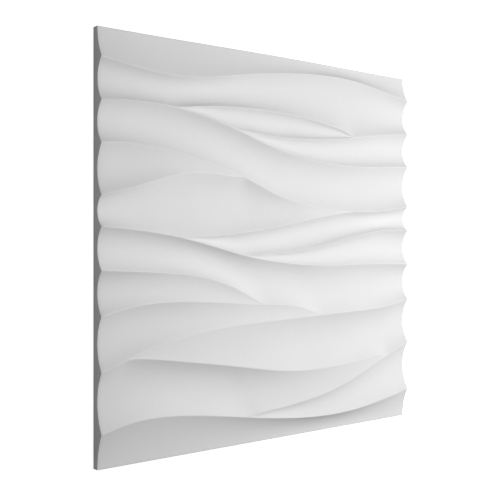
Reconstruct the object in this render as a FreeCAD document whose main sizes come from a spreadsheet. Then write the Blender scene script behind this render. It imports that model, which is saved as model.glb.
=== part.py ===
import FreeCAD, Part
import math
import os

os.makedirs("parts", exist_ok=True)
doc = FreeCAD.newDocument("wave_panel_tile")

# Driving sizes, in millimetres.
# The tile lies on its back and its relief faces up. X runs along its foot and Y from its
# foot to its top; the shape is drawn from the lower left corner and centred at the end.
sheet = doc.addObject("Spreadsheet::Sheet", "Sizes")
sizes = [
    ("panel_width", 500.0, "side of the square tile, left to right"),
    ("panel_height", 500.0, "side of the square tile, foot to top once it is on the wall"),
    ("panel_thickness", 20.0, "back face to the crest of a ridge"),
    ("relief_depth", 10.0, "crest of a ridge to the floor of a full valley"),
    ("plate_thickness", 6.0, "plain plate behind the relief"),
    ("closing_width", 20.0, "a valley narrower than this gets shallower as it closes"),
    ("top_edge_rise", 4.0, "how far the top edge climbs where the first ridge comes near it"),
]
for row, (name, value, meaning) in enumerate(sizes, start=1):
    cell = "A" + str(row)
    sheet.set(cell, str(value))
    sheet.setAlias(cell, name)
    sheet.set("B" + str(row), meaning)
doc.recompute()

width = float(sheet.panel_width)
height = float(sheet.panel_height)
crest = float(sheet.panel_thickness)
relief = float(sheet.relief_depth)
plate = float(sheet.plate_thickness)
closing = float(sheet.closing_width)
edge_rise = float(sheet.top_edge_rise)

# Places along X where two ridges meet or one ridge forks. The two upper forks stand above each
# other, and so do the three at the knot.
FORK_LOWER = 28.0
FORK_UPPER = 90.0
FORK_SECOND = 182.0
KNOT = 202.0
MEET_SIXTH = 236.0
MEET_SEVENTH = 335.0
MEET_UPPER = 395.0
MEET_FOOT = 463.0

# Ridge lines as (x, y) on the drawn tile. The nine heights at the left edge come back at the
# right edge, so that a row of tiles joins without a step.
RIDGES = {
    "first": [(0, 464.8), (50, 457.3), (100, 454.2), (150, 458.7), (200, 467.8), (250, 475.6),
              (300, 480.6), (350, 483.1), (400, 481.0), (450, 473.5), (500, 464.8)],
    "second": [(0, 416.0), (50, 418.8), (100, 416.4), (150, 407.0), (200, 393.3),
               (250, 378.4), (300, 368.5), (350, 363.6), (400, 362.6), (450, 365.2),
               (500, 368.0)],
    "fourth": [(0, 368.0), (50, 369.2), (100, 363.2), (150, 352.8), (200, 338.3),
               (250, 319.0), (300, 307.3), (350, 301.0), (400, 299.6), (450, 302.3),
               (500, 309.6)],
    "fifth": [(0, 274.3), (50, 270.0), (100, 263.0), (150, 252.0), (200, 239.9), (250, 231.8),
              (300, 227.0), (350, 225.2), (400, 226.2), (450, 226.0), (500, 224.7)],
    "eighth": [(0, 110.5), (25, 119.8), (50, 129.2), (100, 141.4), (150, 148.9), (200, 153.3),
               (250, 155.6), (300, 157.6), (350, 159.6), (400, 161.2), (450, 164.8),
               (500, 173.3)],
    "ninth": [(0, 41.4), (50, 51.2), (100, 50.6), (150, 44.4), (200, 36.5), (250, 29.0),
              (300, 23.7), (350, 21.8), (400, 24.3), (450, 31.6), (500, 41.4)],
}

# Ridges that start or end on another ridge: the host there, the x of that end, the points
# between, and the same for the far end. An end without a host is a plain point.
BRANCHES = {
    "third": ("second", FORK_SECOND,
              [(200, 396.4), (250, 393.4), (300, 394.2), (350, 397.8), (400, 404.4),
               (450, 411.4), (500, 416.0)],
              None, None),
    "lens_top": ("second", FORK_UPPER,
                 [(120, 419.4), (150, 423.1), (200, 425.8), (250, 425.3), (300, 422.3),
                  (350, 415.2), (375, 409.3)],
                 "third", MEET_UPPER),
    "left_upper": (None, None,
                   [(0, 309.6), (50, 322.3), (100, 336.7), (125, 340.4), (150, 340.9),
                    (185, 338.9)],
                   "fourth", KNOT),
    "rising": ("fifth", FORK_UPPER,
               [(120, 263.0), (150, 264.1), (200, 269.3), (250, 276.5), (300, 285.8),
                (350, 294.6)],
               "fourth", MEET_UPPER),
    "right_middle": ("fifth", KNOT,
                     [(225, 241.0), (250, 242.6), (300, 247.2), (350, 256.6), (400, 266.9),
                      (450, 274.2), (500, 274.3)],
                     None, None),
    "seventh": (None, None,
                [(0, 173.3), (50, 183.8), (100, 185.8), (150, 183.2), (200, 179.2),
                 (250, 175.8), (300, 168.6)],
                "eighth", MEET_SEVENTH),
    "sixth": (None, None,
              [(0, 224.7), (50, 222.6), (100, 219.0), (150, 210.8), (200, 192.0),
               (220, 181.8)],
              "seventh", MEET_SIXTH),
    "foot_rising": ("ninth", KNOT,
                    [(220, 38.2), (250, 41.0), (300, 46.1), (350, 55.4), (400, 71.4),
                     (450, 91.7), (500, 110.5)],
                    None, None),
    "falling": ("eighth", FORK_LOWER,
                [(50, 122.6), (100, 115.7), (150, 107.8), (200, 99.4), (250, 90.9),
                 (300, 86.4), (350, 87.0), (400, 91.2), (440, 95.2)],
                "foot_rising", MEET_FOOT),
}


# The ridge lines were laid out on a tile of this size, and follow the tile when it changes.
drawn_side = RIDGES["first"][-1][0]
across = width / drawn_side
along = height / drawn_side

# Sections along X, at the forks and meetings and between them. Each valley is an arc at every
# section, and a smooth skin between them.
BETWEEN = [60.0, 112.0, 146.0, 268.0, 301.0, 365.0, 429.0]
SECTIONS = sorted({0.0, drawn_side, FORK_LOWER, FORK_UPPER, FORK_SECOND, KNOT, MEET_SIXTH,
                   MEET_SEVENTH, MEET_UPPER, MEET_FOOT, *BETWEEN})


def interpolated(points, first_slope, last_slope):
    """Smooth line through the points. Its parameter is x."""
    line = Part.BSplineCurve()
    spots = [FreeCAD.Vector(x, y, 0) for x, y in points]
    options = {"Points": spots, "Parameters": [float(x) for x, y in points]}
    if first_slope is not None or last_slope is not None:
        flags = [False] * len(spots)
        tangents = [FreeCAD.Vector(1, 0, 0)] * len(spots)
        if first_slope is not None:
            flags[0] = True
            tangents[0] = FreeCAD.Vector(1, first_slope, 0)
        if last_slope is not None:
            flags[-1] = True
            tangents[-1] = FreeCAD.Vector(1, last_slope, 0)
        options["Tangents"] = tangents
        options["TangentFlags"] = flags
        options["Scale"] = False
    line.interpolate(**options)
    return line


def reading(line, x):
    """Height and slope of a line at x."""
    spot = line.value(x)
    slope = line.tangent(x)[0]
    return spot.y, slope.y / slope.x


# A branch follows its own points from this far beyond its fork, and to this far short of its
# meeting.
FORK_CLEAR = 15.0
lines = {name: interpolated(points, None, None) for name, points in RIDGES.items()}
for name, (host, host_x, between, end_host, end_x) in BRANCHES.items():
    start = 0.0 if host is None else host_x + FORK_CLEAR
    stop = drawn_side if end_host is None else end_x - FORK_CLEAR
    points = [(x, y) for x, y in between if start <= x <= stop]
    first_slope = None
    last_slope = None
    if host is not None:
        y, first_slope = reading(lines[host], host_x)
        points.insert(0, (host_x, y))
    if end_host is not None:
        y, last_slope = reading(lines[end_host], end_x)
        points.append((end_x, y))
    lines[name] = interpolated(points, first_slope, last_slope)

# Knots across a valley are this close, measured as the height of the arc between two of them.
# Half a valley of the same depth bends a quarter as much.
ARC_SAG = 0.105
HALF_VALLEY_SAG = 0.25

# Points and edges closer to a border than this lie on it.
SMALL = 1e-4

# Valleys from the top of the tile to its foot: the ridges above and the ridges below, each
# with the x where it takes over, where the valley starts and ends, and its depth at even steps
# from start to end, as shares of the full relief. A valley that closes runs out gently.
VALLEYS = [
    ([("first", 0.0)],
     [("second", 0.0), ("lens_top", FORK_UPPER), ("third", MEET_UPPER)],
     0.0, drawn_side, [0.95, 0.92, 0.98, 1.00, 1.00, 1.00]),
    ([("lens_top", FORK_UPPER)],
     [("second", FORK_UPPER), ("third", FORK_SECOND)],
     FORK_UPPER, MEET_UPPER, [0.50, 0.45, 0.70, 0.77, 0.52, 0.40]),
    ([("third", FORK_SECOND)],
     [("second", FORK_SECOND)],
     FORK_SECOND, drawn_side, [0.30, 0.36, 0.58, 0.79, 0.93, 1.00]),
    ([("second", 0.0)],
     [("fourth", 0.0)],
     0.0, drawn_side, [1.00, 1.00, 1.00, 1.00, 1.00, 1.00]),
    ([("fourth", 0.0)],
     [("left_upper", 0.0)],
     0.0, KNOT, [1.00, 0.75, 0.33, 0.12, 0.08, 0.00]),
    ([("left_upper", 0.0), ("fourth", KNOT)],
     [("fifth", 0.0), ("rising", FORK_UPPER)],
     0.0, MEET_UPPER, [1.00, 1.00, 1.00, 1.00, 1.00, 0.60, 0.15, 0.04, 0.00]),
    ([("rising", FORK_UPPER), ("fourth", MEET_UPPER)],
     [("fifth", FORK_UPPER), ("right_middle", KNOT)],
     FORK_UPPER, drawn_side, [0.35, 0.58, 0.80, 0.84, 0.80, 0.95]),
    ([("right_middle", KNOT)],
     [("fifth", KNOT)],
     KNOT, drawn_side, [0.35, 0.37, 0.54, 0.79, 0.94, 1.00]),
    ([("fifth", 0.0)],
     [("sixth", 0.0), ("seventh", MEET_SIXTH), ("eighth", MEET_SEVENTH)],
     0.0, drawn_side, [1.00, 1.00, 1.00, 1.00, 1.00, 1.00]),
    ([("sixth", 0.0)],
     [("seventh", 0.0)],
     0.0, MEET_SIXTH, [1.00, 0.66, 0.42, 0.29, 0.12, 0.00]),
    ([("seventh", 0.0)],
     [("eighth", 0.0)],
     0.0, MEET_SEVENTH, [1.00, 0.76, 0.38, 0.17, 0.12, 0.00]),
    ([("eighth", FORK_LOWER)],
     [("falling", FORK_LOWER), ("foot_rising", MEET_FOOT)],
     FORK_LOWER, drawn_side, [0.00, 0.12, 0.38, 0.86, 1.00, 1.00]),
    ([("eighth", 0.0), ("falling", FORK_LOWER)],
     [("ninth", 0.0), ("foot_rising", KNOT)],
     0.0, MEET_FOOT, [1.00, 1.00, 0.97, 0.40, 0.13, 0.00]),
    ([("foot_rising", KNOT)],
     [("ninth", KNOT)],
     KNOT, drawn_side, [0.25, 0.25, 0.35, 0.56, 0.80, 1.00]),
]


def ridge_reading(chain, x):
    """Height and slope on the tile, at x, of a chain of ridges."""
    current = chain[0][0]
    for name, start in chain:
        if x >= start:
            current = name
    y, slope = reading(lines[current], x)
    return y * along, slope * along / across


def share_at(x, start, end, shares):
    """Share of the full relief at x, straight between the even steps."""
    place = (x - start) / (end - start) * (len(shares) - 1)
    step = min(int(place), len(shares) - 2)
    return shares[step] + (shares[step + 1] - shares[step]) * (place - step)


def valley_depth(gap, full_depth):
    """Depth of a valley where its two ridges are this far apart."""
    if gap >= closing:
        return full_depth
    share = max(gap, 0.0) / closing
    return full_depth * share * share * (3.0 - 2.0 * share)


def eased_slopes(marks, values):
    """Slopes for a smooth row that never passes beyond its own values."""
    rises = [(after - before) / (mark_after - mark)
             for before, after, mark, mark_after in zip(values, values[1:], marks, marks[1:])]
    held = [rises[0]]
    for before, after in zip(rises, rises[1:]):
        same_way = before * after > 0.0
        held.append(2.0 * before * after / (before + after) if same_way else 0.0)
    held.append(rises[-1])
    return held


def span(left, right, left_value, right_value, left_slope, right_slope):
    """Four control values of a smooth stretch between two sections."""
    third = (right - left) / 3.0
    return [left_value, left_value + left_slope * third,
            right_value - right_slope * third, right_value]


def skin_between(marks, rows, depths):
    """Faces of one valley. Each row holds (y, y slope, z, z slope) at every section."""
    faces = []
    for index in range(len(marks) - 1):
        left = marks[index]
        right = marks[index + 1]
        xs = span(left, right, left, right, 1.0, 1.0)
        columns = [[], [], [], []]
        for row in rows:
            y0, y_slope0, z0, z_slope0 = row[index]
            y1, y_slope1, z1, z_slope1 = row[index + 1]
            ys = span(left, right, y0, y1, y_slope0, y_slope1)
            zs = span(left, right, z0, z1, z_slope0, z_slope1)
            for column, x, y, z in zip(columns, xs, ys, zs):
                column.append(FreeCAD.Vector(x, y, z))
        surface = Part.BSplineSurface()
        surface.buildFromPolesMultsKnots(columns, [4, 4], [3, 3], [0.0, 1.0], [0.0, 1.0],
                                         False, False, 3, 2)
        parts = math.ceil(math.sqrt(max(depths[index], depths[index + 1]) / ARC_SAG))
        for part in range(1, parts):
            surface.insertVKnot(part / parts, 1, 0.0)
        faces.append(surface.toShape())
    return faces


def valley(above, below, start, end, shares):
    """Skin of one valley between its upper and lower ridges."""
    stations = [x for x in SECTIONS if start <= x <= end]
    marks = [x * across for x in stations]
    tops = [ridge_reading(above, x) for x in stations]
    feet = [ridge_reading(below, x) for x in stations]
    depths = [valley_depth(top - foot, relief * share_at(x, start, end, shares))
              for x, (top, ts), (foot, fs) in zip(stations, tops, feet)]
    floor = [crest - 2.0 * depth for depth in depths]
    floor_slopes = eased_slopes(marks, floor)
    foot_row = [(y, slope, crest, 0.0) for y, slope in feet]
    top_row = [(y, slope, crest, 0.0) for y, slope in tops]
    middle_row = [((top + foot) / 2.0, (top_slope + foot_slope) / 2.0, z, z_slope)
                  for (top, top_slope), (foot, foot_slope), z, z_slope
                  in zip(tops, feet, floor, floor_slopes)]
    return skin_between(marks, [foot_row, middle_row, top_row], depths)


def half_valley(ridge, edge_y, edge_heights):
    """Skin between a ridge and the edge of the tile beside it, level where it meets the edge."""
    marks = [x * across for x in SECTIONS]
    ridge_row = []
    middle_row = []
    edge_row = []
    edge_slopes = eased_slopes(marks, edge_heights)
    for x, z, z_slope in zip(SECTIONS, edge_heights, edge_slopes):
        y, slope = ridge_reading([(ridge, 0.0)], x)
        ridge_row.append((y, slope, crest, 0.0))
        middle_row.append(((y + edge_y) / 2.0, slope / 2.0, z, z_slope))
        edge_row.append((edge_y, 0.0, z, z_slope))
    half_depths = [relief * HALF_VALLEY_SAG] * len(marks)
    return skin_between(marks, [ridge_row, middle_row, edge_row], half_depths)


# The top edge is at the valley floor at the corners and climbs toward the ridge beside it.
valley_floor = crest - relief
RISE_MIDDLE = 270.0
RISE_HALF_SPAN = 200.0
top_edge = []
for x in SECTIONS:
    share = min(abs(x - RISE_MIDDLE) / RISE_HALF_SPAN, 1.0)
    top_edge.append(valley_floor + edge_rise * (1.0 - share * share) ** 2)
bottom_edge = [valley_floor] * len(SECTIONS)

skins = half_valley("first", height, top_edge)
for above, below, start, end, shares in VALLEYS:
    skins.extend(valley(above, below, start, end, shares))
skins.extend(half_valley("ninth", 0.0, bottom_edge))


def edge_beside(shape, place):
    """Edges of a shape whose middle passes the test."""
    found = []
    for edge in shape.Edges:
        if edge.Length < SMALL:
            continue
        middle = edge.valueAt((edge.FirstParameter + edge.LastParameter) / 2.0)
        if place(middle):
            found.append(edge)
    return found


def side_wall(skin, place, first, last):
    """Flat wall under one border of the skin, down to the plate."""
    under_first = FreeCAD.Vector(first.x, first.y, plate)
    under_last = FreeCAD.Vector(last.x, last.y, plate)
    border = edge_beside(skin, place)
    border.append(Part.makeLine(first, under_first))
    border.append(Part.makeLine(under_first, under_last))
    border.append(Part.makeLine(under_last, last))
    return Part.Face(Part.Wire(Part.__sortEdges__(border)))


def corner(skin, x, y):
    """Corner of the skin above (x, y)."""
    spots = [v.Point for v in skin.Vertexes]
    return min(spots, key=lambda spot: (spot.x - x) ** 2 + (spot.y - y) ** 2)


skin = Part.makeShell(skins)
skin.sewShape()
low_left = corner(skin, 0.0, 0.0)
low_right = corner(skin, width, 0.0)
top_left = corner(skin, 0.0, height)
top_right = corner(skin, width, height)
walls = [
    side_wall(skin, lambda spot: abs(spot.x) < SMALL, low_left, top_left),
    side_wall(skin, lambda spot: abs(spot.x - width) < SMALL, low_right, top_right),
    side_wall(skin, lambda spot: abs(spot.y) < SMALL, low_left, low_right),
    side_wall(skin, lambda spot: abs(spot.y - height) < SMALL, top_left, top_right),
]
seat_corners = [FreeCAD.Vector(spot.x, spot.y, plate)
                for spot in (low_left, low_right, top_right, top_left, low_left)]
seat = Part.Face(Part.makePolygon(seat_corners))
casing = Part.makeShell(skin.Faces + walls + [seat])
casing.sewShape()
relief_solid = Part.Solid(casing)
if relief_solid.Volume < 0:
    relief_solid.reverse()

relief_feature = doc.addObject("Part::Feature", "WaveRelief")
relief_feature.Shape = relief_solid

plate_box = doc.addObject("Part::Box", "BackPlate")
plate_box.setExpression("Length", "Sizes.panel_width")
plate_box.setExpression("Width", "Sizes.panel_height")
plate_box.setExpression("Height", "Sizes.plate_thickness")

tile = doc.addObject("Part::MultiFuse", "WavePanelTile")
tile.Label = "wave_panel_tile"
tile.Shapes = [plate_box, relief_feature]
tile.Refine = True
doc.recompute()
tile.Placement = FreeCAD.Placement(FreeCAD.Vector(-width / 2.0, -height / 2.0, 0.0),
                                   FreeCAD.Rotation())
doc.recompute()

for item in doc.Objects:
    if "Invalid" in item.State or "Error" in item.State:
        raise RuntimeError(item.Name + " did not compute: " + str(item.State))
shape = tile.Shape
if shape.isNull() or not shape.isValid():
    raise RuntimeError("the tile's shape is null or not valid")
if len(shape.Solids) != 1:
    raise RuntimeError("the tile should be one solid, not " + str(len(shape.Solids)))
shape.exportStep("parts/" + tile.Label + ".step")
print(tile.Label, len(shape.Faces), "faces", round(shape.Volume / 1000.0, 1), "cm3", shape.BoundBox)
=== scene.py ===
# %% [markdown]
# # A wall tile with cast waves
#
# The object is one square tile of cast gypsum, 500 mm a side and 20 mm thick. Its back is flat and
# its face is a set of shallow valleys that meet in sharp, flowing ridges. It lies on its back here,
# face up, as it would on a workshop floor, and the camera looks down on it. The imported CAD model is
# the fixed frame: everything below is placed in its metres, and it is loaded before anything else.

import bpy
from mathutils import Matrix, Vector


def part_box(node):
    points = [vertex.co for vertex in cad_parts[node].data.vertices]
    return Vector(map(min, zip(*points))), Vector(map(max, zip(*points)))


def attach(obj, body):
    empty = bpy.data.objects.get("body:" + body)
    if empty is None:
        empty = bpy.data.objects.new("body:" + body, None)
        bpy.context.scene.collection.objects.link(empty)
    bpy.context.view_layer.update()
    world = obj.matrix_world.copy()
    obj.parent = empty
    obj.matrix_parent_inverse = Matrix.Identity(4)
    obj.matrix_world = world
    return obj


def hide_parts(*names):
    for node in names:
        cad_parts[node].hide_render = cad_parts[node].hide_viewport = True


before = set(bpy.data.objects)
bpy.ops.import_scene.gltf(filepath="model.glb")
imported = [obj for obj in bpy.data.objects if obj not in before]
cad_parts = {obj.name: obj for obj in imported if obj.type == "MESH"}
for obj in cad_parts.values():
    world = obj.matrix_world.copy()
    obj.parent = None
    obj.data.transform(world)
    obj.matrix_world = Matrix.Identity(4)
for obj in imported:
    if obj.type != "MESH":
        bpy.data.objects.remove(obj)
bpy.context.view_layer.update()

# %% [markdown]
# Blender works in metres and the tile was measured in millimetres, so one factor turns the
# measured sizes into Blender's. The box of the CAD tile gives its sides and its thickness, which
# keeps the new surface tied to the frame. A hair is a length too small to see, and it keeps a
# division away from zero.

# %% Sizes of the tile
import math

import bmesh
import bpy
import numpy as np

MM = 0.001
low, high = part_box("wave_panel_tile")
side = (high[0] - low[0]) / MM
crest = (high[2] - low[2]) / MM
relief = 10.0
HAIR = 1e-6
print("tile", round(side, 2), "mm a side, crest at", round(crest, 2), "mm,",
      "full valleys", relief, "mm deep")

# %% [markdown]
# ## The ridge lines
#
# A mould maker draws such a tile from its ridges: smooth lines that run from the left edge to the
# right edge, with a few more that fork off one ridge and flow into another. A picture of heights
# could also carry the pattern, but it would blur the ridges, and those sharp lines are what the
# eye follows. So the ridges are kept as lines, with a point every 50 mm or so, and the surface is
# hung between them. Each place where a ridge meets the left edge comes back at the right edge,
# because the next tile has to meet this one.

# %% Ridges that cross the whole tile, as (x, y) in millimetres
RIDGES = {
    "first": [(0, 464.8), (50, 457.3), (100, 454.2), (150, 458.7), (200, 467.8), (250, 475.6),
              (300, 480.6), (350, 483.1), (400, 481.0), (450, 473.5), (500, 464.8)],
    "second": [(0, 416.0), (50, 418.8), (100, 416.4), (150, 407.0), (200, 393.3),
               (250, 378.4), (300, 368.5), (350, 363.6), (400, 362.6), (450, 365.2),
               (500, 368.0)],
    "fourth": [(0, 368.0), (50, 369.2), (100, 363.2), (150, 352.8), (200, 338.3),
               (250, 319.0), (300, 307.3), (350, 301.0), (400, 299.6), (450, 302.3),
               (500, 309.6)],
    "fifth": [(0, 274.3), (50, 270.0), (100, 263.0), (150, 252.0), (200, 239.9), (250, 231.8),
              (300, 227.0), (350, 225.2), (400, 226.2), (450, 226.0), (500, 224.7)],
    "eighth": [(0, 110.5), (25, 119.8), (50, 129.2), (100, 141.4), (150, 148.9), (200, 153.3),
               (250, 155.6), (300, 157.6), (350, 159.6), (400, 161.2), (450, 164.8),
               (500, 173.3)],
    "ninth": [(0, 41.4), (50, 51.2), (100, 50.6), (150, 44.4), (200, 36.5), (250, 29.0),
              (300, 23.7), (350, 21.8), (400, 24.3), (450, 31.6), (500, 41.4)],
}
print(len(RIDGES), "ridges cross the tile")

# %% Where ridges fork and meet, along x, and the sections between those places
FORK_LOWER = 28.0
FORK_UPPER = 90.0
FORK_SECOND = 182.0
KNOT = 202.0
MEET_SIXTH = 236.0
MEET_SEVENTH = 335.0
MEET_UPPER = 395.0
MEET_FOOT = 463.0
SECTIONS = np.array([0.0, FORK_LOWER, 60.0, FORK_UPPER, 112.0, 146.0, FORK_SECOND, KNOT,
                     MEET_SIXTH, 268.0, 301.0, MEET_SEVENTH, 365.0, MEET_UPPER, 429.0,
                     MEET_FOOT, 500.0])
print(len(SECTIONS), "sections across the tile")

# %% Branches: the ridge left and where, the points between, the ridge flowed into and where
BRANCHES = {
    "third": ("second", FORK_SECOND,
              [(200, 396.4), (250, 393.4), (300, 394.2), (350, 397.8), (400, 404.4),
               (450, 411.4), (500, 416.0)],
              None, None),
    "lens_top": ("second", FORK_UPPER,
                 [(120, 419.4), (150, 423.1), (200, 425.8), (250, 425.3), (300, 422.3),
                  (350, 415.2), (375, 409.3)],
                 "third", MEET_UPPER),
    "left_upper": (None, None,
                   [(0, 309.6), (50, 322.3), (100, 336.7), (125, 340.4), (150, 340.9),
                    (185, 338.9)],
                   "fourth", KNOT),
    "rising": ("fifth", FORK_UPPER,
               [(120, 263.0), (150, 264.1), (200, 269.3), (250, 276.5), (300, 285.8),
                (350, 294.6)],
               "fourth", MEET_UPPER),
    "right_middle": ("fifth", KNOT,
                     [(225, 241.0), (250, 242.6), (300, 247.2), (350, 256.6), (400, 266.9),
                      (450, 274.2), (500, 274.3)],
                     None, None),
    "seventh": (None, None,
                [(0, 173.3), (50, 183.8), (100, 185.8), (150, 183.2), (200, 179.2),
                 (250, 175.8), (300, 168.6)],
                "eighth", MEET_SEVENTH),
    "sixth": (None, None,
              [(0, 224.7), (50, 222.6), (100, 219.0), (150, 210.8), (200, 192.0),
               (220, 181.8)],
              "seventh", MEET_SIXTH),
    "foot_rising": ("ninth", KNOT,
                    [(220, 38.2), (250, 41.0), (300, 46.1), (350, 55.4), (400, 71.4),
                     (450, 91.7), (500, 110.5)],
                    None, None),
    "falling": ("eighth", FORK_LOWER,
                [(50, 122.6), (100, 115.7), (150, 107.8), (200, 99.4), (250, 90.9),
                 (300, 86.4), (350, 87.0), (400, 91.2), (440, 95.2)],
                "foot_rising", MEET_FOOT),
}
print(len(BRANCHES), "ridges branch off them")

# %% [markdown]
# A smooth line through a few points is the same line that a bent strip of wood would take. Its
# slope at each point follows from asking that neither slope nor curvature jumps, which is a small
# set of linear equations. With a value and a slope at every point, the line between two points is
# an ordinary cubic, which is cheap to read at any x.


# %% A smooth line through points
def flow(marks, values, slopes, x):
    """Value and slope at x of a line with known values and slopes at its marks."""
    cell = np.clip(np.searchsorted(marks, x, side="right") - 1, 0, len(marks) - 2)
    length = marks[cell + 1] - marks[cell]
    t = (x - marks[cell]) / length
    rise = values[cell + 1] - values[cell]
    first = slopes[cell] * length
    last = slopes[cell + 1] * length
    bend = first + last - 2.0 * rise
    reading = values[cell] + t * (first + t * (3.0 * rise - 2.0 * first - last + t * bend))
    slope = first + 2.0 * t * (3.0 * rise - 2.0 * first - last) + 3.0 * t * t * bend
    return reading, slope / length


def bent_strip(points, first_slope, last_slope):
    """Marks, values and slopes of the smooth line through the points."""
    marks, values = np.array(points, dtype=float).T
    if first_slope is None:
        first_slope = np.polyval(np.polyder(np.polyfit(marks[:3], values[:3], 2)), marks[0])
    if last_slope is None:
        last_slope = np.polyval(np.polyder(np.polyfit(marks[-3:], values[-3:], 2)), marks[-1])
    count = len(marks)
    gaps = np.diff(marks)
    steps = np.diff(values) / gaps
    system = np.eye(count)
    wanted = np.zeros(count)
    wanted[0], wanted[-1] = first_slope, last_slope
    for i in range(1, count - 1):
        system[i, i - 1:i + 2] = gaps[i], 2.0 * (gaps[i - 1] + gaps[i]), gaps[i - 1]
        wanted[i] = 3.0 * (gaps[i] * steps[i - 1] + gaps[i - 1] * steps[i])
    return marks, values, np.linalg.solve(system, wanted)


lines = {name: bent_strip(points, None, None) for name, points in RIDGES.items()}
for name, (host, host_x, between, end_host, end_x) in BRANCHES.items():
    points, first_slope, last_slope = list(between), None, None
    if host:
        y, first_slope = flow(*lines[host], host_x)
        points.insert(0, (host_x, y))
    if end_host:
        y, last_slope = flow(*lines[end_host], end_x)
        points.append((end_x, y))
    lines[name] = bent_strip(points, first_slope, last_slope)
print("ridge lines:", ", ".join(sorted(lines)))

# %% [markdown]
# ## The valleys
#
# Between two ridges the face is a round hollow, as a round-nosed tool leaves it in a carved master.
# How deep it is changes along the tile: a valley that closes runs out gently towards its closed
# end, and the widest ones have the full relief. Each valley is therefore named by the ridges above
# it, the ridges below it, the x where it starts and ends, and its depth at even steps between them,
# as shares of the full relief. The list runs from the top of the tile to its foot.

# %% Valleys: ridges above, ridges below, start, end and shares of the full depth
VALLEYS = [
    ([("first", 0.0)],
     [("second", 0.0), ("lens_top", FORK_UPPER), ("third", MEET_UPPER)],
     0.0, 500.0, [0.95, 0.92, 0.98, 1.00, 1.00, 1.00]),
    ([("lens_top", FORK_UPPER)],
     [("second", FORK_UPPER), ("third", FORK_SECOND)],
     FORK_UPPER, MEET_UPPER, [0.50, 0.45, 0.70, 0.77, 0.52, 0.40]),
    ([("third", FORK_SECOND)],
     [("second", FORK_SECOND)],
     FORK_SECOND, 500.0, [0.30, 0.36, 0.58, 0.79, 0.93, 1.00]),
    ([("second", 0.0)],
     [("fourth", 0.0)],
     0.0, 500.0, [1.00, 1.00, 1.00, 1.00, 1.00, 1.00]),
    ([("fourth", 0.0)],
     [("left_upper", 0.0)],
     0.0, KNOT, [1.00, 0.75, 0.33, 0.12, 0.08, 0.00]),
    ([("left_upper", 0.0), ("fourth", KNOT)],
     [("fifth", 0.0), ("rising", FORK_UPPER)],
     0.0, MEET_UPPER, [1.00, 1.00, 1.00, 1.00, 1.00, 0.60, 0.15, 0.04, 0.00]),
    ([("rising", FORK_UPPER), ("fourth", MEET_UPPER)],
     [("fifth", FORK_UPPER), ("right_middle", KNOT)],
     FORK_UPPER, 500.0, [0.35, 0.58, 0.80, 0.84, 0.80, 0.95]),
    ([("right_middle", KNOT)],
     [("fifth", KNOT)],
     KNOT, 500.0, [0.35, 0.37, 0.54, 0.79, 0.94, 1.00]),
    ([("fifth", 0.0)],
     [("sixth", 0.0), ("seventh", MEET_SIXTH), ("eighth", MEET_SEVENTH)],
     0.0, 500.0, [1.00, 1.00, 1.00, 1.00, 1.00, 1.00]),
    ([("sixth", 0.0)],
     [("seventh", 0.0)],
     0.0, MEET_SIXTH, [1.00, 0.66, 0.42, 0.29, 0.12, 0.00]),
    ([("seventh", 0.0)],
     [("eighth", 0.0)],
     0.0, MEET_SEVENTH, [1.00, 0.76, 0.38, 0.17, 0.12, 0.00]),
    ([("eighth", FORK_LOWER)],
     [("falling", FORK_LOWER), ("foot_rising", MEET_FOOT)],
     FORK_LOWER, 500.0, [0.00, 0.12, 0.38, 0.86, 1.00, 1.00]),
    ([("eighth", 0.0), ("falling", FORK_LOWER)],
     [("ninth", 0.0), ("foot_rising", KNOT)],
     0.0, MEET_FOOT, [1.00, 1.00, 0.97, 0.40, 0.13, 0.00]),
    ([("foot_rising", KNOT)],
     [("ninth", KNOT)],
     KNOT, 500.0, [0.25, 0.25, 0.35, 0.56, 0.80, 1.00]),
]
CLOSING_WIDTH = 20.0
print(len(VALLEYS), "valleys, besides the two half valleys along the top and the foot")


# %% Reading a ridge and a valley floor at any x
def held_slopes(marks, values):
    """Slopes for a row of values that must not swing past any of them."""
    steps = np.diff(values) / np.diff(marks)
    product = steps[:-1] * steps[1:]
    total = np.where(product > 0.0, steps[:-1] + steps[1:], 1.0)
    inner = np.where(product > 0.0, 2.0 * product / total, 0.0)
    return np.concatenate([steps[:1], inner, steps[-1:]])


def ridge_at(chain, x):
    """Height on the tile of a chain of ridges at every x."""
    heights = np.zeros(len(x))
    for name, start in chain:
        taken = x >= start - HAIR
        heights[taken] = flow(*lines[name], x[taken])[0]
    return heights


def valley_depths(above, below, start, end, shares, x):
    """Depth of one valley at every x. Depths are set at the sections and flow between them."""
    marks = SECTIONS[(SECTIONS >= start) & (SECTIONS <= end)]
    gap = np.clip((ridge_at(above, marks) - ridge_at(below, marks)) / CLOSING_WIDTH, 0.0, 1.0)
    full = relief * np.interp(marks, np.linspace(start, end, len(shares)), shares)
    depths = full * gap * gap * (3.0 - 2.0 * gap)
    return flow(marks, depths, held_slopes(marks, depths), x)[0]


print("depth of the first valley at mid tile:",
      round(float(valley_depths(*VALLEYS[0], np.array([250.0]))[0]), 2), "mm")

# %% [markdown]
# ## One skin over all the valleys
#
# The face could be stitched from one patch per valley, but patches leave seams. Here it is one
# grid from Blender's own operator, like a sheet of cloth with straight columns. Its rows are then
# gathered along the ridges: every valley owns the same number of rows, and where a valley has
# closed, its rows lie on top of each other and are merged afterwards. Rows are packed close beside
# a ridge and spread in the open valley, because only the ridge has detail.
#
# A ridge cast in plaster is never a knife edge: the mould leaves a flat crest a little over half a
# millimetre wide, with its two arrises just rounded, and that crest is what catches the light as a
# thin pale line along each ridge. So the first rows beside a ridge stay level with it and the
# valley starts a little way out. Where a valley is nearly closed, its crests and their roundings
# take only a small share of its width, so that something of the valley is left.

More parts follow.
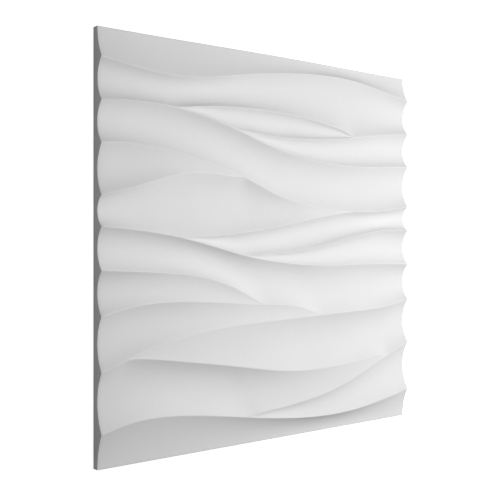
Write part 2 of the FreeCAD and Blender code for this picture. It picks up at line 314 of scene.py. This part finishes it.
# %% Columns and rows of the grid
COLUMNS = 250
ROWS = 18
CREST_HALF = 0.30
CREST_ROUND = 0.15
CREST_MOST = 0.12
ROUND_MOST = 0.08
GATHER = 0.08
bands = len(VALLEYS) + 2
x_all = np.linspace(0.0, side, COLUMNS + 1)


def crest_share(width):
    """Half a crest and the rounding beside it, as shares of a valley's width."""
    half = np.minimum(CREST_HALF / np.maximum(width, HAIR), CREST_MOST)
    rounding = np.minimum(CREST_ROUND / np.maximum(width, HAIR), ROUND_MOST)
    return half, rounding


def row_places(width, ridge_low=True, ridge_high=True):
    """Places of the rows across a valley, from 0 to 1, close together beside its ridges."""
    half, rounding = crest_share(width)
    start = 2 if ridge_low else 0
    stop = ROWS - 2 if ridge_high else ROWS
    first = half + rounding if ridge_low else np.zeros_like(width)
    last = 1.0 - half - rounding if ridge_high else np.ones_like(width)
    places = np.zeros((ROWS + 1, len(width)))
    for row in range(start, stop + 1):
        along = (row - start) / (stop - start)
        along -= GATHER * math.sin(2.0 * math.pi * along)
        places[row] = first + (last - first) * along
    if ridge_low:
        places[1] = half
    if ridge_high:
        places[ROWS - 1] = 1.0 - half
        places[ROWS] = 1.0
    return places


print(COLUMNS, "columns and", bands * ROWS, "rows")

# %% [markdown]
# A valley's section is the arc of a circle through its two crests, as a round-nosed tool cuts it.
# A parabola would be simpler, but its flanks are flatter beside the ridges, and there the shade of
# a round hollow is darkest. Along the top and the foot of the tile the valley goes on in the next
# tile, so those two strips are half hollows that end level. The top edge climbs a little in its
# middle, as the real one does.

# %% Heights of every row: y across the tile and z above the back
EDGE_RISE = 4.0
RISE_MIDDLE = 270.0
RISE_HALF_SPAN = 200.0
valley_floor = crest - relief
row_y = np.zeros((bands * ROWS + 1, COLUMNS + 1))
row_z = np.full_like(row_y, crest)


def hollow(out, half_width, depth):
    """Height over the floor of a round hollow, at a share of the way from its middle out."""
    depth = np.maximum(depth, HAIR)
    radius = (half_width ** 2 + depth ** 2) / (2.0 * depth)
    return radius - np.sqrt(np.maximum(radius ** 2 - (out * half_width) ** 2, 0.0))


def half_valley(ridge_y, edge_y, edge_z, places):
    """y and z of the rows between a ridge and the tile's edge, level where they meet the edge."""
    span = np.abs(edge_y - ridge_y)
    half, rounding = crest_share(span)
    inset = half + rounding / 2.0
    out = 1.0 - np.clip((places - inset) / (1.0 - inset), 0.0, 1.0)
    y = ridge_y + (edge_y - ridge_y) * places
    return y, edge_z + hollow(out, span, crest - edge_z)


foot_ridge = ridge_at([("ninth", 0.0)], x_all)
places = row_places(foot_ridge, ridge_low=False)
y, z = half_valley(foot_ridge, 0.0, valley_floor, 1.0 - places)
row_y[:ROWS + 1], row_z[:ROWS + 1] = y, z

ceiling = foot_ridge
for band, (above, below, start, end, shares) in enumerate(reversed(VALLEYS), start=1):
    open_here = (x_all >= start) & (x_all <= end)
    width = np.zeros(COLUMNS + 1)
    depth = np.zeros(COLUMNS + 1)
    x_open = x_all[open_here]
    width[open_here] = np.maximum(ridge_at(above, x_open) - ceiling[open_here], 0.0)
    depth[open_here] = valley_depths(above, below, start, end, shares, x_open)
    places = row_places(width)
    rows = slice(band * ROWS, (band + 1) * ROWS + 1)
    row_y[rows] = ceiling + width * places
    half, rounding = crest_share(width)
    inset = half + rounding / 2.0
    out = np.clip(np.abs(2.0 * places - 1.0) / (1.0 - 2.0 * inset), 0.0, 1.0)
    row_z[rows] = crest - depth + hollow(out, width / 2.0, depth)
    ceiling = ceiling + width

share = np.minimum(np.abs(SECTIONS - RISE_MIDDLE) / RISE_HALF_SPAN, 1.0)
top_edge = valley_floor + EDGE_RISE * (1.0 - share * share) ** 2
top_z = flow(SECTIONS, top_edge, held_slopes(SECTIONS, top_edge), x_all)[0]
places = row_places(side - ceiling, ridge_high=False)
y, z = half_valley(ceiling, side, top_z, places)
row_y[-ROWS - 1:], row_z[-ROWS - 1:] = y, z
print("lowest point of the face", round(float(row_z.min()), 2), "mm above the back")

# %% [markdown]
# The operator makes the grid flat and centred. Its vertices come out row by row, so each one finds
# its own column and row from its place in the flat grid, and moves to the height worked out for
# it. Merging by distance then closes the valleys that have run out.

# %% The grid, shaped and merged
MERGE_GAP = 0.02
face_mesh = bmesh.new()
bmesh.ops.create_grid(face_mesh, x_segments=COLUMNS, y_segments=bands * ROWS, size=0.5)
for vert in face_mesh.verts:
    column = round((vert.co.x + 0.5) * COLUMNS)
    row = round((vert.co.y + 0.5) * bands * ROWS)
    vert.co.x = (x_all[column] - side / 2.0) * MM
    vert.co.y = (row_y[row, column] - side / 2.0) * MM
    vert.co.z = row_z[row, column] * MM
bmesh.ops.remove_doubles(face_mesh, verts=face_mesh.verts, dist=MERGE_GAP * MM)
bmesh.ops.dissolve_degenerate(face_mesh, edges=face_mesh.edges, dist=MERGE_GAP * MM)
print(len(face_mesh.faces), "faces in the skin")

# %% [markdown]
# The sides of the tile are plain and straight. The border of the skin is extruded down to the back,
# and one face closes it. The arris round the face is eased a little first, as it is when a caster
# rubs the flash off a demoulded tile.

# %% Sides and back
EASE = 0.25
border = [edge for edge in face_mesh.edges if edge.is_boundary]
for vert in {vert for edge in border for vert in edge.verts}:
    vert.co.z -= EASE * MM
wall = bmesh.ops.extrude_edge_only(face_mesh, edges=border)
foot_ring = [part for part in wall["geom"] if isinstance(part, bmesh.types.BMVert)]
for vert in foot_ring:
    vert.co.z = 0.0
ring_edges = [edge for edge in face_mesh.edges if edge.is_boundary]
back = bmesh.ops.contextual_create(face_mesh, geom=ring_edges)["faces"]
bmesh.ops.recalc_face_normals(face_mesh, faces=face_mesh.faces)
print(len(back), "back face, open edges left:",
      sum(1 for edge in face_mesh.edges if edge.is_boundary))

# %% [markdown]
# The piece stands in the frame in place of the CAD tile and rides on the same body. It is shaded
# smooth, and only an edge that turns by more than the sharp angle keeps its corner: those are the
# edges round the face and round the back, while every ridge is rounded by its own crest.

# %% The finished piece, standing for the CAD tile
SHARP_ANGLE = 62.0
tile_mesh = bpy.data.meshes.new("wave_tile_cast")
face_mesh.to_mesh(tile_mesh)
face_mesh.free()
tile_mesh.polygons.foreach_set("use_smooth", [True] * len(tile_mesh.polygons))
tile_mesh.set_sharp_from_angle(angle=math.radians(SHARP_ANGLE))
wave_tile = bpy.data.objects.new("wave_tile_cast", tile_mesh)
bpy.context.scene.collection.objects.link(wave_tile)
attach(wave_tile, "root")
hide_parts("wave_panel_tile")
print("triangles:", sum(len(face.vertices) - 2 for face in tile_mesh.polygons))

# %% [markdown]
# ## Cast gypsum
#
# Gypsum cast in a smooth mould is white, matt and very even, and what makes it look real is small:
# faint clouds where it dried at different speeds, a powdery grain that is only felt when light
# rakes across it, and a few tiny bubbles. The back was struck off level while it was wet, so it is
# coarser and has more bubbles. All its finishes need the same clouds and grain, so those are one
# node group with its own inputs, built once and used three times. A photograph could colour the
# surface as well, but noise that follows the object's own coordinates never repeats or blurs.

# %% A node group for clouds, grain and bubbles
def new_node(tree, kind, **settings):
    """A node with its plain settings, and values for its inputs given by name."""
    node = tree.nodes.new(kind)
    for key, value in settings.pop("values", {}).items():
        node.inputs[key].default_value = value
    for key, value in settings.items():
        setattr(node, key, value)
    return node


grain = bpy.data.node_groups.new("plaster_surface", "ShaderNodeTree")
for name, kind in (("Position", "NodeSocketVector"), ("Grain Size", "NodeSocketFloat"),
                   ("Bubbles", "NodeSocketFloat")):
    grain.interface.new_socket(name, in_out="INPUT", socket_type=kind)
for name in ("Tone", "Height", "Pits"):
    grain.interface.new_socket(name, in_out="OUTPUT", socket_type="NodeSocketFloat")
enter = new_node(grain, "NodeGroupInput")
leave = new_node(grain, "NodeGroupOutput")
clouds = new_node(grain, "ShaderNodeTexNoise",
                  values={"Scale": 9.0, "Detail": 4.0, "Roughness": 0.55, "Distortion": 0.4})
fine = new_node(grain, "ShaderNodeTexNoise", values={"Detail": 5.0, "Roughness": 0.62})
cells = new_node(grain, "ShaderNodeTexVoronoi", feature="F1", values={"Scale": 400.0})
tone = new_node(grain, "ShaderNodeMix", data_type="FLOAT", values={"Factor": 0.65})
grain.links.new(enter.outputs["Position"], clouds.inputs["Vector"])
grain.links.new(enter.outputs["Position"], fine.inputs["Vector"])
grain.links.new(enter.outputs["Position"], cells.inputs["Vector"])
size = new_node(grain, "ShaderNodeMath", operation="DIVIDE")
size.inputs[0].default_value = 1.0
grain.links.new(enter.outputs["Grain Size"], size.inputs[1])
grain.links.new(size.outputs["Value"], fine.inputs["Scale"])
print("sockets of the group:", [item.name for item in grain.interface.items_tree])

# %% [markdown]
# A bubble is a cell whose random number is low: only those few cells get a pit, and the pit is
# the middle of the cell. The share of cells that get one is an input, so the face can stay almost
# clean and the back can have many. A pit is three times as deep as the grain is high.

# %% Bubbles as small pits in a few cells
PIT_DEPTH = 3.0
lot = new_node(grain, "ShaderNodeSeparateColor")
chosen = new_node(grain, "ShaderNodeMath", operation="LESS_THAN")
pit = new_node(grain, "ShaderNodeMapRange", interpolation_type="SMOOTHSTEP",
               values={"From Min": 0.10, "From Max": 0.22, "To Min": 1.0, "To Max": 0.0})
pits = new_node(grain, "ShaderNodeMath", operation="MULTIPLY")
relief_sum = new_node(grain, "ShaderNodeMath", operation="MULTIPLY_ADD")
relief_sum.inputs[1].default_value = -PIT_DEPTH
grain.links.new(cells.outputs["Color"], lot.inputs["Color"])
grain.links.new(lot.outputs["Red"], chosen.inputs[0])
grain.links.new(enter.outputs["Bubbles"], chosen.inputs[1])
grain.links.new(cells.outputs["Distance"], pit.inputs["Value"])
grain.links.new(pit.outputs["Result"], pits.inputs[0])
grain.links.new(chosen.outputs["Value"], pits.inputs[1])
grain.links.new(pits.outputs["Value"], relief_sum.inputs[0])
grain.links.new(fine.outputs["Fac"], relief_sum.inputs[2])
grain.links.new(clouds.outputs["Fac"], tone.inputs["A"])
grain.links.new(fine.outputs["Fac"], tone.inputs["B"])
grain.links.new(tone.outputs["Result"], leave.inputs["Tone"])
grain.links.new(relief_sum.outputs["Value"], leave.inputs["Height"])
grain.links.new(pits.outputs["Value"], leave.inputs["Pits"])
print(len(grain.nodes), "nodes in the group")


# %% [markdown]
# Every finish is the same material with other values: two whites that the clouds and the grain mix,
# two roughnesses, the size of the grain, the share of bubbles and the height of the grain. Plaster
# has hardly any shine, so the reflection is kept low. Each pit is painted a shade darker than the
# face, as painted shade inside the hollow.

# %% One gypsum material
TONE_RANGE = {"From Min": 0.3, "From Max": 0.7}
# The pit colour is painted shade, mixed in where a pit's hollow is.
PIT_PAINTED_SHADE = (0.60, 0.59, 0.57, 1.0)
SHINE = 0.2


def plaster(name, pale, dull, rough_low, rough_high, grain_size, bubbles, bump):
    """A gypsum material. Its own values say how pale, how rough and how pitted it is."""
    material = bpy.data.materials.new(name)
    material.use_nodes = True
    tree = material.node_tree
    shader = tree.nodes["Principled BSDF"]
    shader.inputs["Specular IOR Level"].default_value = SHINE
    position = new_node(tree, "ShaderNodeTexCoord")
    surface = new_node(tree, "ShaderNodeGroup", node_tree=grain)
    surface.inputs["Grain Size"].default_value = grain_size
    surface.inputs["Bubbles"].default_value = bubbles
    tint = new_node(tree, "ShaderNodeMix", data_type="RGBA", blend_type="MIX")
    tint.inputs["A"].default_value = dull + (1.0,)
    tint.inputs["B"].default_value = pale + (1.0,)
    # This mix lays the painted shade into the pits.
    shade = new_node(tree, "ShaderNodeMix", data_type="RGBA", blend_type="MIX")
    shade.inputs["B"].default_value = PIT_PAINTED_SHADE
    spread = new_node(tree, "ShaderNodeMapRange", values=TONE_RANGE)
    rough = new_node(tree, "ShaderNodeMapRange",
                     values={**TONE_RANGE, "To Min": rough_low, "To Max": rough_high})
    relief_node = new_node(tree, "ShaderNodeBump", values={"Strength": 1.0, "Distance": bump})
    tree.links.new(position.outputs["Object"], surface.inputs["Position"])
    tree.links.new(surface.outputs["Tone"], spread.inputs["Value"])
    tree.links.new(surface.outputs["Tone"], rough.inputs["Value"])
    tree.links.new(spread.outputs["Result"], tint.inputs["Factor"])
    tree.links.new(tint.outputs["Result"], shade.inputs["A"])
    tree.links.new(surface.outputs["Pits"], shade.inputs["Factor"])
    tree.links.new(shade.outputs["Result"], shader.inputs["Base Color"])
    tree.links.new(rough.outputs["Result"], shader.inputs["Roughness"])
    tree.links.new(surface.outputs["Height"], relief_node.inputs["Height"])
    tree.links.new(relief_node.outputs["Normal"], shader.inputs["Normal"])
    return material


print("one gypsum material, for every finish of the tile")

# %% [markdown]
# The tile has three finishes. The face is as the mould left it. The crests are a little smoother,
# and they are painted a little paler: a painted highlight that stands for the thin pale line the
# light draws along each ridge. A face of the mesh is a crest where all of it is at the height of the
# ridges. The back looks straight down, and it is coarser and has many bubbles.

# %% The three finishes, laid on the tile
CREST_LEVEL = crest - 0.01
DOWNWARDS = -0.9
BACK_SLOT, CREST_SLOT = 1, 2
cast_face = plaster("cast_face", pale=(0.77, 0.77, 0.77), dull=(0.725, 0.725, 0.725),
                    rough_low=0.72, rough_high=0.86,
                    grain_size=0.0018, bubbles=0.002, bump=0.00003)
# The paler whites of the crests are a painted highlight along the ridges; the lower roughness is the
# crests' own.
painted_highlight_crest = plaster("painted_highlight_crest", pale=(0.81, 0.81, 0.81), dull=(0.77, 0.77, 0.77),
                       rough_low=0.55, rough_high=0.70,
                       grain_size=0.0018, bubbles=0.001, bump=0.00002)
struck_back = plaster("struck_back", pale=(0.80, 0.80, 0.79), dull=(0.72, 0.72, 0.71),
                      rough_low=0.85, rough_high=0.95,
                      grain_size=0.0022, bubbles=0.12, bump=0.00012)
for finish in (cast_face, struck_back, painted_highlight_crest):
    tile_mesh.materials.append(finish)
for face in tile_mesh.polygons:
    if face.normal.z < DOWNWARDS:
        face.material_index = BACK_SLOT
    # Faces at crest height take the paler finish, the painted highlight along the ridges.
    if min(tile_mesh.vertices[i].co.z for i in face.vertices) > CREST_LEVEL * MM:
        face.material_index = CREST_SLOT
print("materials on the tile:", [material.name for material in tile_mesh.materials])

# %% [markdown]
# ## Floor, light and camera
#
# The tile is shown on plain white, lit softly from above and from the right, so the valleys shade
# gently and the left side of the tile falls dark. The floor is one big plane, and round it the
# world is white too, so there is no dark horizon. Both are white only for the rays that come from
# the camera, off gloss or through glass. The light that they throw back at the tile is kept low,
# or the dark side would fill up.

# %% Rays that should find a white room
def seen_rays(tree):
    """A value that is 1 for rays from the camera, off gloss and through glass, and else 0."""
    ray = new_node(tree, "ShaderNodeLightPath")
    bent = new_node(tree, "ShaderNodeMath", operation="MAXIMUM")
    seen = new_node(tree, "ShaderNodeMath", operation="MAXIMUM")
    tree.links.new(ray.outputs["Is Glossy Ray"], bent.inputs[0])
    tree.links.new(ray.outputs["Is Transmission Ray"], bent.inputs[1])
    tree.links.new(ray.outputs["Is Camera Ray"], seen.inputs[0])
    tree.links.new(bent.outputs["Value"], seen.inputs[1])
    return seen.outputs["Value"]


print("rays told apart: camera, gloss and glass, or the rest")

# %% [markdown]
# The floor lies a fifth of a millimetre below the back of the tile, because two surfaces at one
# height flicker. Round the tile it glows a little less than white, which keeps the shadow of the
# tile, and further out it turns as white as the world behind it. From below it is clear, so the
# back of the tile can be looked at.

# %% The floor and its glow
FLOOR_HALF = 6.0
FLOOR_DROP = 0.2
GLOW = {"From Min": 0.4, "From Max": 1.6, "To Min": 0.8, "To Max": 1.0}
FLOOR_LIT = (0.30, 0.30, 0.30, 1.0)
FLOOR_SEEN = (0.90, 0.90, 0.90, 1.0)
WHITE = (1.0, 1.0, 1.0, 1.0)
floor_mesh = bmesh.new()
bmesh.ops.create_grid(floor_mesh, x_segments=2, y_segments=2, size=FLOOR_HALF)
floor_data = bpy.data.meshes.new("floor")
floor_mesh.to_mesh(floor_data)
floor_mesh.free()
floor = bpy.data.objects.new("floor", floor_data)
floor.location.z = -FLOOR_DROP * MM
bpy.context.scene.collection.objects.link(floor)
white = bpy.data.materials.new("white_floor")
white.use_nodes = True
tree = white.node_tree
diffuse = tree.nodes["Principled BSDF"]
diffuse.inputs["Roughness"].default_value = 1.0
diffuse.inputs["Specular IOR Level"].default_value = 0.0
shown = seen_rays(tree)
colour = new_node(tree, "ShaderNodeMix", data_type="RGBA")
colour.inputs["A"].default_value = FLOOR_LIT
colour.inputs["B"].default_value = FLOOR_SEEN
place = new_node(tree, "ShaderNodeTexCoord")
away = new_node(tree, "ShaderNodeVectorMath", operation="LENGTH")
glow = new_node(tree, "ShaderNodeMapRange", values=GLOW)
lift = new_node(tree, "ShaderNodeMath", operation="MULTIPLY")
tree.links.new(place.outputs["Object"], away.inputs[0])
tree.links.new(away.outputs["Value"], glow.inputs["Value"])
tree.links.new(glow.outputs["Result"], lift.inputs[1])
diffuse.inputs["Emission Color"].default_value = WHITE
tree.links.new(shown, colour.inputs["Factor"])
tree.links.new(shown, lift.inputs[0])
tree.links.new(lift.outputs["Value"], diffuse.inputs["Emission Strength"])
tree.links.new(colour.outputs["Result"], diffuse.inputs["Base Color"])
print("floor", [round(value, 1) for value in floor.dimensions], "m")

# %% The floor, clear from below
side_seen = new_node(tree, "ShaderNodeNewGeometry")
clear = new_node(tree, "ShaderNodeBsdfTransparent")
one_way = new_node(tree, "ShaderNodeMixShader")
tree.links.new(side_seen.outputs["Backfacing"], one_way.inputs["Fac"])
tree.links.new(diffuse.outputs["BSDF"], one_way.inputs[1])
tree.links.new(clear.outputs["BSDF"], one_way.inputs[2])
tree.links.new(one_way.outputs["Shader"], tree.nodes["Material Output"].inputs["Surface"])
floor_data.materials.append(white)
print("materials on the floor:", [material.name for material in floor_data.materials])

# %% [markdown]
# Four square lamps light the tile. The key lamp on the right gives the shading, a weak one stands
# beyond the top edge, a small one hangs over the left half, and a fill on the left keeps the dark
# side from going black. Soft lamps are made large: a small one would draw hard shadows behind the
# ridges, and the photograph shows none.


# %% A soft lamp
def soft_lamp(name, place, target, size, power):
    """A square soft lamp at a place, aimed at a point on the tile."""
    data = bpy.data.lights.new(name, "AREA")
    data.shape = "SQUARE"
    data.size = size
    data.energy = power
    lamp = bpy.data.objects.new(name, data)
    bpy.context.scene.collection.objects.link(lamp)
    lamp.location = place
    aim = np.array(target) - np.array(place)
    heading = math.atan2(aim[1], aim[0])
    fall = math.atan2(math.hypot(aim[0], aim[1]), -aim[2])
    lamp.rotation_euler = (fall, 0.0, heading - math.pi / 2.0)


print("a soft lamp has a place, a target, a size and a power")

# %% Lamps in metres and watts, and the world
LAMPS = [
    ("key", (0.92, 0.0, 0.92), (0.0, 0.0, 0.0), 0.7, 16.2),
    ("above", (0.0, 0.92, 0.92), (0.0, 0.0, 0.0), 0.7, 2.6),
    ("front", (-0.1, 0.0, 0.5), (-0.1, 0.0, 0.0), 0.3, 0.66),
    ("left_fill", (-1.22, 0.0, 0.45), (0.0, 0.0, 0.0), 0.7, 2.1),
]
for lamp_values in LAMPS:
    soft_lamp(*lamp_values)
world = bpy.data.worlds.new("room")
world.use_nodes = True
backdrop = world.node_tree.nodes["Background"]
backdrop.inputs["Color"].default_value = WHITE
world.node_tree.links.new(seen_rays(world.node_tree), backdrop.inputs["Strength"])
bpy.context.scene.world = world
bpy.context.scene.view_settings.view_transform = "Standard"

# %% [markdown]
# The camera was found from the four corners of the tile in the photograph: they fix where it stood,
# how far it was turned and how long its lens is. It stood to the left of the tile, level with its
# middle, and was turned 37 degrees towards it.

# %% The camera
SENSOR_WIDTH = 36.0
LENS_LENGTH = 59.53
LENS_SHIFT = (-0.0006, -0.0114)
CAMERA_PLACE = (-0.6741, 0.0041, 0.8533)
CAMERA_TURN = -37.17
lens = bpy.data.cameras.new("camera")
lens.sensor_width = SENSOR_WIDTH
lens.lens = LENS_LENGTH
lens.shift_x, lens.shift_y = LENS_SHIFT
camera = bpy.data.objects.new("camera", lens)
bpy.context.scene.collection.objects.link(camera)
camera.location = CAMERA_PLACE
camera.rotation_euler = (0.0, math.radians(CAMERA_TURN), 0.0)
bpy.context.scene.camera = camera
print("camera at", [round(value, 3) for value in camera.location])
